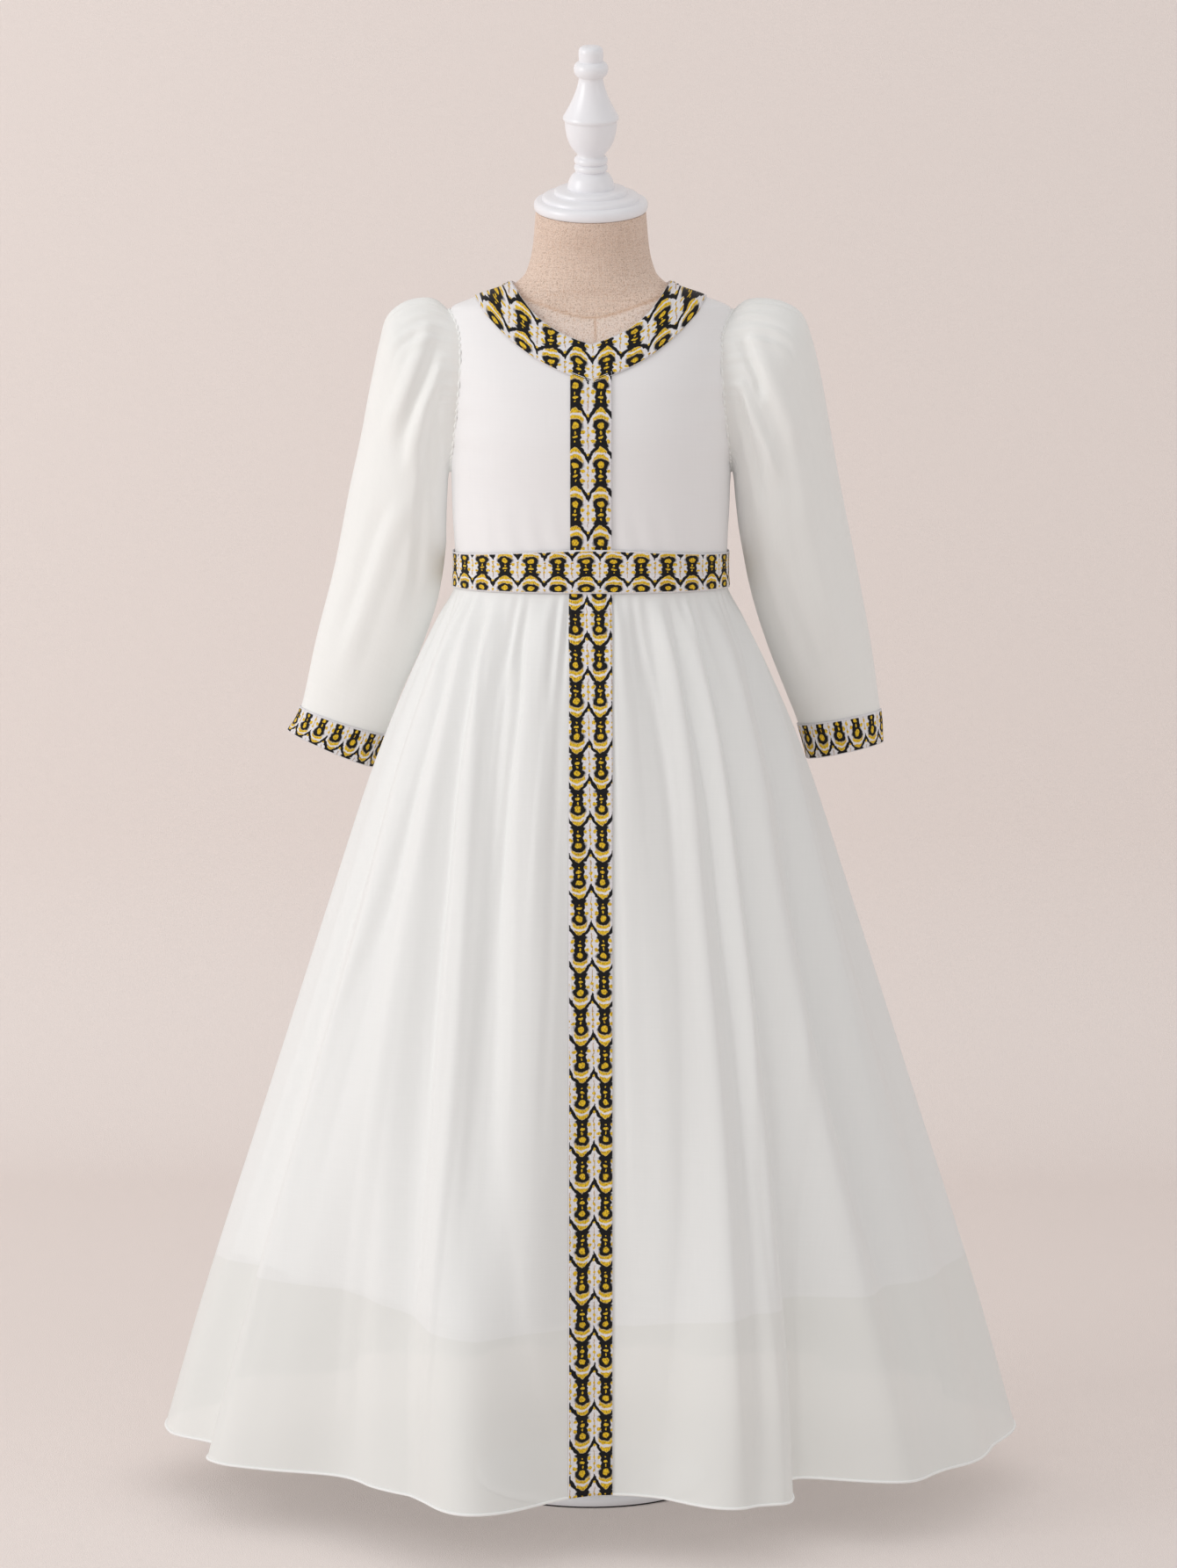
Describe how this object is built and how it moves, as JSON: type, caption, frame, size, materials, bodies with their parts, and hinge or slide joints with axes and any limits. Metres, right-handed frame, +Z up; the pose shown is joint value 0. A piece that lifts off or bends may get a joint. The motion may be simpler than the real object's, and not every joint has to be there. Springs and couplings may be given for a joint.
{
  "type": "princess dress on a dress form",
  "caption": "Child's long-sleeved princess dress with a sheer flared skirt and woven ribbon trim, standing on a limbless dress form with a turned cap and round foot.",
  "frame": {"origin": "centre of the underside of the form's round foot, on the floor", "axes": "+Z up, -Y out of the dress's front, +X towards the wearer's left"},
  "size_m": [0.7253, 0.5744, 1.2126],
  "materials": {
    "chiffon": "sheer matt chiffon",
    "satin": "soft satin",
    "ribbon": "woven black, gold and white ribbon",
    "linen": "plain woven linen",
    "gloss_paint": "white gloss lacquer",
    "steel": "brushed"
  },
  "bodies": {
    "root": {"bodice_front": "satin", "bodice_back_right": "satin", "bodice_back_left": "satin", "sleeve_right": "chiffon", "sleeve_left": "chiffon", "cuff_right": "ribbon", "cuff_left": "ribbon", "neck_band_front": "ribbon", "neck_band_back": "ribbon", "waist_band_front": "ribbon", "waist_band_back": "ribbon", "trim_bodice": "ribbon", "trim_skirt": "ribbon", "skirt_front": "chiffon", "skirt_back_right": "chiffon", "skirt_back_left": "chiffon", "lining_front": "satin", "lining_back": "satin", "form_body": "linen", "form_cap": "gloss_paint", "form_pole": "steel", "form_base": "gloss_paint"}
  },
  "joints": []
}
